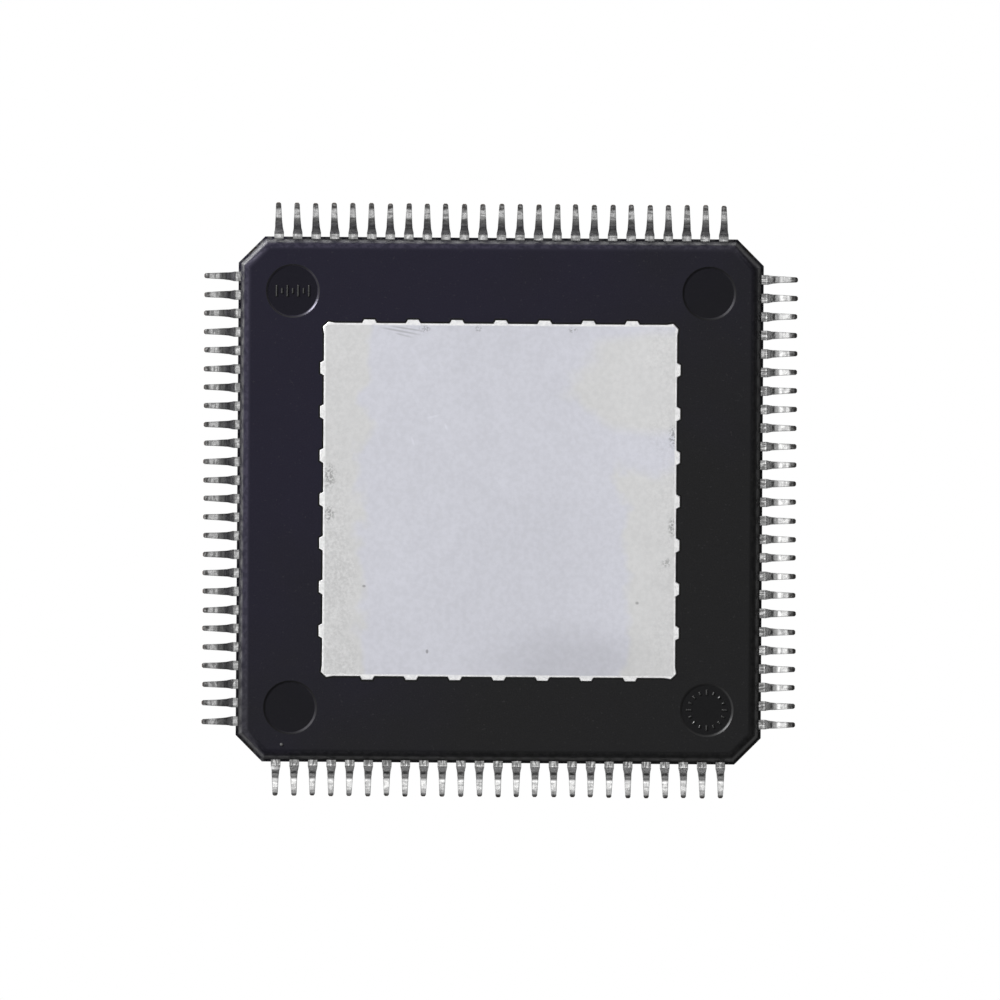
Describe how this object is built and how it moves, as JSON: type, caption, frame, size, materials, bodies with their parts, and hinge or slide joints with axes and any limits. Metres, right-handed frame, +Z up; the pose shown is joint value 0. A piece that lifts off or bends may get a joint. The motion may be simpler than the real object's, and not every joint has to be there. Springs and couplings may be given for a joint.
{
  "type": "quad flat pack chip",
  "caption": "Square surface-mount chip package: black moulded body with a bare square die pad underneath and a row of gull-wing leads along every side.",
  "frame": {"origin": "middle of the seating plane, which the toes of the leads touch", "axes": "+Z up, away from the board; X and Y along the sides of the body; pin 1 is the +Y end of the -X row, and pins count anticlockwise seen from +Z"},
  "size_m": [0.016, 0.016, 0.0015],
  "materials": {
    "mould_resin": "fine matte, faintly purplish black epoxy resin",
    "tinned_pad": "matte tin plating on copper, faintly stained",
    "tinned_leads": "bright tin plating on copper, darker at the trimmed toes",
    "silicon": "polished silicon",
    "silver_adhesive": "cured silver-filled adhesive",
    "bond_wire": "drawn gold"
  },
  "bodies": {
    "root": {"mold_body": "mould_resin", "die_pad": "tinned_pad", "die_attach": "silver_adhesive", "silicon_die": "silicon", "leads_1_to_5": "tinned_leads", "leads_6_to_10": "tinned_leads", "leads_11_to_15": "tinned_leads", "leads_16_to_20": "tinned_leads", "leads_21_to_25": "tinned_leads", "leads_26_to_30": "tinned_leads", "leads_31_to_35": "tinned_leads", "leads_36_to_40": "tinned_leads", "leads_41_to_45": "tinned_leads", "leads_46_to_50": "tinned_leads", "leads_51_to_55": "tinned_leads", "leads_56_to_60": "tinned_leads", "leads_61_to_65": "tinned_leads", "leads_66_to_70": "tinned_leads", "leads_71_to_75": "tinned_leads", "leads_76_to_80": "tinned_leads", "leads_81_to_85": "tinned_leads", "leads_86_to_90": "tinned_leads", "leads_91_to_95": "tinned_leads", "leads_96_to_100": "tinned_leads", "wires_1_to_5": "bond_wire", "wires_6_to_10": "bond_wire", "wires_11_to_15": "bond_wire", "wires_16_to_20": "bond_wire", "wires_21_to_25": "bond_wire", "wires_26_to_30": "bond_wire", "wires_31_to_35": "bond_wire", "wires_36_to_40": "bond_wire", "wires_41_to_45": "bond_wire", "wires_46_to_50": "bond_wire", "wires_51_to_55": "bond_wire", "wires_56_to_60": "bond_wire", "wires_61_to_65": "bond_wire", "wires_66_to_70": "bond_wire", "wires_71_to_75": "bond_wire", "wires_76_to_80": "bond_wire", "wires_81_to_85": "bond_wire", "wires_86_to_90": "bond_wire", "wires_91_to_95": "bond_wire", "wires_96_to_100": "bond_wire"}
  },
  "joints": []
}
